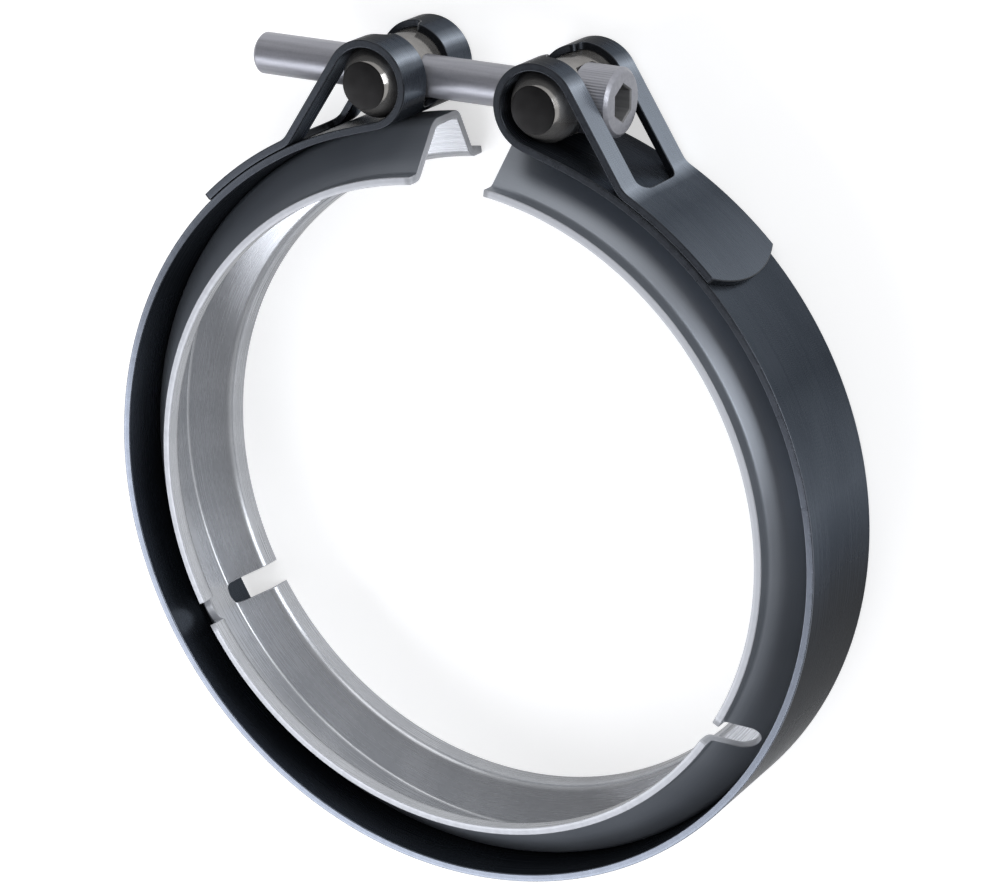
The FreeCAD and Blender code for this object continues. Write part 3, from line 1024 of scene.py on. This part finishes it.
# %% The trunnions
face_r = 4.45               # radius of a trunnion's flat end
chamfer_slope = 30.0
corner_reach = 0.14         # how far from a corner its rounding starts
pin_sides, bore_sides = 144, 96
sharp_on_pin = 28.0         # an edge of more degrees than this stays sharp
tapped_r = 4.05
passage_r = 4.5
seat_r, seat_x = 6.85, 3.35     # the seat's radius, and how far from the axis it lies
chamfer = (pin_r - face_r) / math.tan(math.radians(chamfer_slope))
pin_profile = rounded([
    (-pin_length / 2, 0.0),
    (-pin_length / 2, face_r),
    (-pin_length / 2 + chamfer, pin_r),
    (pin_length / 2 - chamfer, pin_r),
    (pin_length / 2, face_r),
    (pin_length / 2, 0.0),
], corner_reach)


def drilled(piece, bores):
    """Cuts round bores along X, each (radius, from x, to x), and returns the finished piece."""
    for radius, start, end in bores:
        profile = [(start, 0), (start, radius), (end, radius), (end, 0)]
        points, faces, _ = lathe(profile, bore_sides)
        along_x = [(z, x, y) for x, y, z in points]
        tool = mesh_piece("drill", along_x, faces, [0] * len(faces), [])
        cut = piece.modifiers.new("bore", "BOOLEAN")
        cut.operation = "DIFFERENCE"
        cut.solver = "EXACT"
        cut.object = tool
        bpy.context.view_layer.update()
        bored = piece.evaluated_get(bpy.context.evaluated_depsgraph_get())
        result = bpy.data.meshes.new_from_object(bored)
        piece.modifiers.clear()
        piece.data = result
        bpy.data.objects.remove(tool)
    return piece


def trunnion(name, body, node, x, bores):
    on_face = 1 + ROUND_STEPS           # the gaps of the flat end and of its corner's arc
    sides = len(pin_profile) - 1 - 2 * on_face
    gap_marks = [1] * on_face + [0] * sides + [1] * on_face
    points, faces, marks = lathe(pin_profile, pin_sides, gap_marks)
    pin = mesh_piece(name, points, faces, marks, [trunnion_finish, trunnion_face_shaded_finish])
    pin = drilled(pin, bores)
    pin.data.set_sharp_from_angle(angle=math.radians(sharp_on_pin))
    pin.location = (x * MM, pin_y * MM, 0)
    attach(pin, body)
    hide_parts(node)
    return pin


beyond = pin_r + 1
nut_pin = trunnion("nut_trunnion_pin", "nut_trunnion", "tapped_trunnion", -pin_x,
                   [(tapped_r, -beyond, beyond)])
head_pin = trunnion("head_trunnion_pin", "head_trunnion", "plain_trunnion", pin_x,
                    [(passage_r, -beyond, beyond), (seat_r, seat_x, beyond)])
print("trunnions", len(nut_pin.data.polygons), "and", len(head_pin.data.polygons), "faces")

# %% [markdown]
# ## The screw
# A socket head screw has a straight knurl on its head, pressed in as fine ribs that stop
# short of the chamfer, and a hexagon socket with a slightly opened mouth and a drill point at
# its bottom. The ribs are waves in the radius. The socket is a ring whose radius follows the
# hexagon's sides. The shank is plain, as the object shows no thread on it.

# %% The screw
head_height = 8.0
tip_chamfer = 0.7
fillet_along, fillet_out = 0.25, 0.2    # under the head
head_chamfer = 0.35         # on the head's edge at its bearing face
screw_corner = 0.18         # how far from a corner its rounding starts
socket_depth = 4.3
across_flats = 6.0
knurl_ribs = 72
knurl_depth = 0.05
rib_shape = 1.6             # above 1, the grooves are narrower than the ribs
screw_sides = 10 * knurl_ribs
sharp_on_screw = 33.0       # an edge of more degrees than this stays sharp


def ribbed(radius, share=1.0):
    """A radius with a groove for every wave. The ribs between them reach the radius."""
    def ring(angle):
        wave = 0.5 + 0.5 * np.cos(knurl_ribs * angle)
        return radius - share * knurl_depth * wave ** rib_shape
    return ring


def hexagon(flats):
    """The radius of a hexagon with corners at angle 0, from its size across flats."""
    def ring(angle):
        in_side = np.mod(angle, math.pi / 3) - math.pi / 6
        return flats / 2 / np.cos(in_side)
    return ring


under_head = screw_top - head_height
socket_floor = screw_top - socket_depth
shank = rounded([
    (screw_tip, 0.0),
    (screw_tip, shank_r - tip_chamfer),
    (screw_tip + tip_chamfer, shank_r),
    (under_head - fillet_along, shank_r),
    (under_head, shank_r + fillet_out),
    (under_head, head_r - head_chamfer),
    (under_head + head_chamfer, head_r),
], screw_corner)[:-1]
head = [
    (under_head + head_chamfer, head_r - 0.03),
    (under_head + 0.8, ribbed(head_r)),             # the knurl starts
    (under_head + 3.8, ribbed(head_r)),
    (screw_top - 1.05, ribbed(head_r)),
    (screw_top - 0.72, ribbed(head_r, share=0.25)),     # it runs out
    (screw_top - 0.55, head_r - 0.14),              # the chamfer starts
    (screw_top - 0.12, head_r - 0.58),
    (screw_top - 0.03, head_r - 0.70),
    (screw_top, head_r - 0.86),
    (screw_top, 4.5),
    (screw_top, hexagon(across_flats + 0.5)),       # the socket's mouth
]
socket = [
    (screw_top - 0.25, hexagon(across_flats)),
    (socket_floor + 0.05, hexagon(across_flats)),
    (socket_floor, hexagon(across_flats - 0.1)),
    (socket_floor - 0.1, 2.8),                      # the drill point
    (socket_floor - 1.7, 0.0),
]
screw_marks = [0] * (len(shank + head) - 1) + [1] * len(socket)
points, faces, marks = lathe(shank + head + socket, screw_sides, screw_marks)
# the lathe works along Z: turned so that it runs along X with the hexagon's corners towards Y
along_x = [(z - screw_tip, x, y) for x, y, z in points]
screw = mesh_piece("socket_head_screw", along_x, faces, marks, [screw_finish, socket_shaded_finish])
screw.data.set_sharp_from_angle(angle=math.radians(sharp_on_screw))
screw.location = (screw_tip * MM, pin_y * MM, 0)
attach(screw, "screw")
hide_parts("cap_screw")
print("screw", len(screw.data.polygons), "faces,", knurl_ribs, "ribs")

# %% [markdown]
# ## Floor
# The clamp lies on a pale floor. It has an ordinary matt colour, on which the clamp's shadow
# falls. Where the camera or a reflection sees it, it adds some light of its own, so that it
# comes out white in the picture and in the metal. None of that light reaches matt surfaces.

# %% Floor
def floor_finish():
    finish = Finish("pale_floor")
    path = finish.node("ShaderNodeLightPath")
    seen = Value(finish, path.socket.node.outputs["Is Camera Ray"])
    mirrored = Value(finish, path.socket.node.outputs["Is Glossy Ray"])
    through = Value(finish, path.socket.node.outputs["Is Transmission Ray"])
    matt = finish.node("ShaderNodeBsdfDiffuse", None, {"Color": (0.65, 0.65, 0.65, 1)})
    glow = finish.node("ShaderNodeEmission", None, {"Color": (1, 1, 1, 1), "Strength": 0.58})
    both = finish.node("ShaderNodeAddShader", None, {0: matt, 1: glow})
    shown = finish.node("ShaderNodeMixShader", None,
                        {0: seen + mirrored + through, 1: matt, 2: both})
    finish.node("ShaderNodeOutputMaterial", None, {"Surface": shown})
    return finish.material


floor_half = 3000           # half the floor's width
floor_z = channel_back - 0.02   # a hair below the clamp
corners = [(x * floor_half, y * floor_half, floor_z)
           for x, y in ((-1, -1), (1, -1), (1, 1), (-1, 1))]
floor = mesh_piece("floor", corners, [[0, 1, 2, 3]], [0], [floor_finish()])
print("floor at", round(floor_z, 2), "mm")

# %% [markdown]
# ## Light
# Polished metal shows what stands round it, so the light is mostly a question of what the
# steel can see. A pale horizon that darkens overhead gives the upright walls a soft tone and
# leaves the faces that look up dark. Large soft panels, all above the floor, then put the
# highlights in: one beyond the closed side of the ring for the cut edges, one far beyond the
# opening, and one on the side of the screw's head.

# %% World and lamps
def horizon_sky():
    """White up to a low height and grey from a greater one, both as shares of straight up."""
    white_to, grey_from = 0.05, 0.75
    world = bpy.data.worlds.new("studio")
    bpy.context.scene.world = world
    sky = Network(world)
    place = sky.node("ShaderNodeTexCoord", output=0)
    height = sky.node("ShaderNodeSeparateXYZ", None, {"Vector": place}, output=2)
    share = squeezed(sky, height, white_to, grey_from, 0.0, 1.0)
    colour = mixed(sky, share, (1.0, 1.0, 1.0, 1), (0.22, 0.22, 0.23, 1))
    light = sky.node("ShaderNodeBackground", None, {"Color": colour, "Strength": 1.0})
    sky.node("ShaderNodeOutputWorld", None, {"Surface": light})


def soft_panel(name, place, aim, width, height, power, colour=(1, 1, 1)):
    lamp = bpy.data.lights.new(name, "AREA")
    lamp.shape = "RECTANGLE"
    lamp.size, lamp.size_y = width, height
    lamp.energy = power
    lamp.color = colour
    panel = bpy.data.objects.new(name, lamp)
    panel.location = place
    panel.rotation_euler = (Vector(aim) - Vector(place)).to_track_quat("-Z", "Y").to_euler()
    panel.visible_camera = False
    bpy.context.scene.collection.objects.link(panel)


horizon_sky()
soft_panel("edge_panel", place=(-0.34, -0.40, 0.52), aim=(0.0, -0.04, 0),
           width=0.80, height=0.30, power=4.6, colour=(0.93, 0.95, 1.0))
soft_panel("back_panel", place=(0.1, 1.3, 0.75), aim=(0, 0, 0), width=1.2, height=0.5, power=4.5)
soft_panel("side_panel", place=(1.1, 0.5, 0.5), aim=(0, 0, 0),
           width=0.8, height=0.5, power=9, colour=(0.93, 0.96, 1.0))
bpy.context.scene.view_settings.view_transform = "Standard"
print("studio lit")

# %% [markdown]
# ## Size against the engineering model
# The clamp should be no larger than its engineering model, and should differ from it by two
# hundredths of a millimetre at most: the lips bow by one, and short chords stand for round sides
# in the engineering model.

print("scene finished")
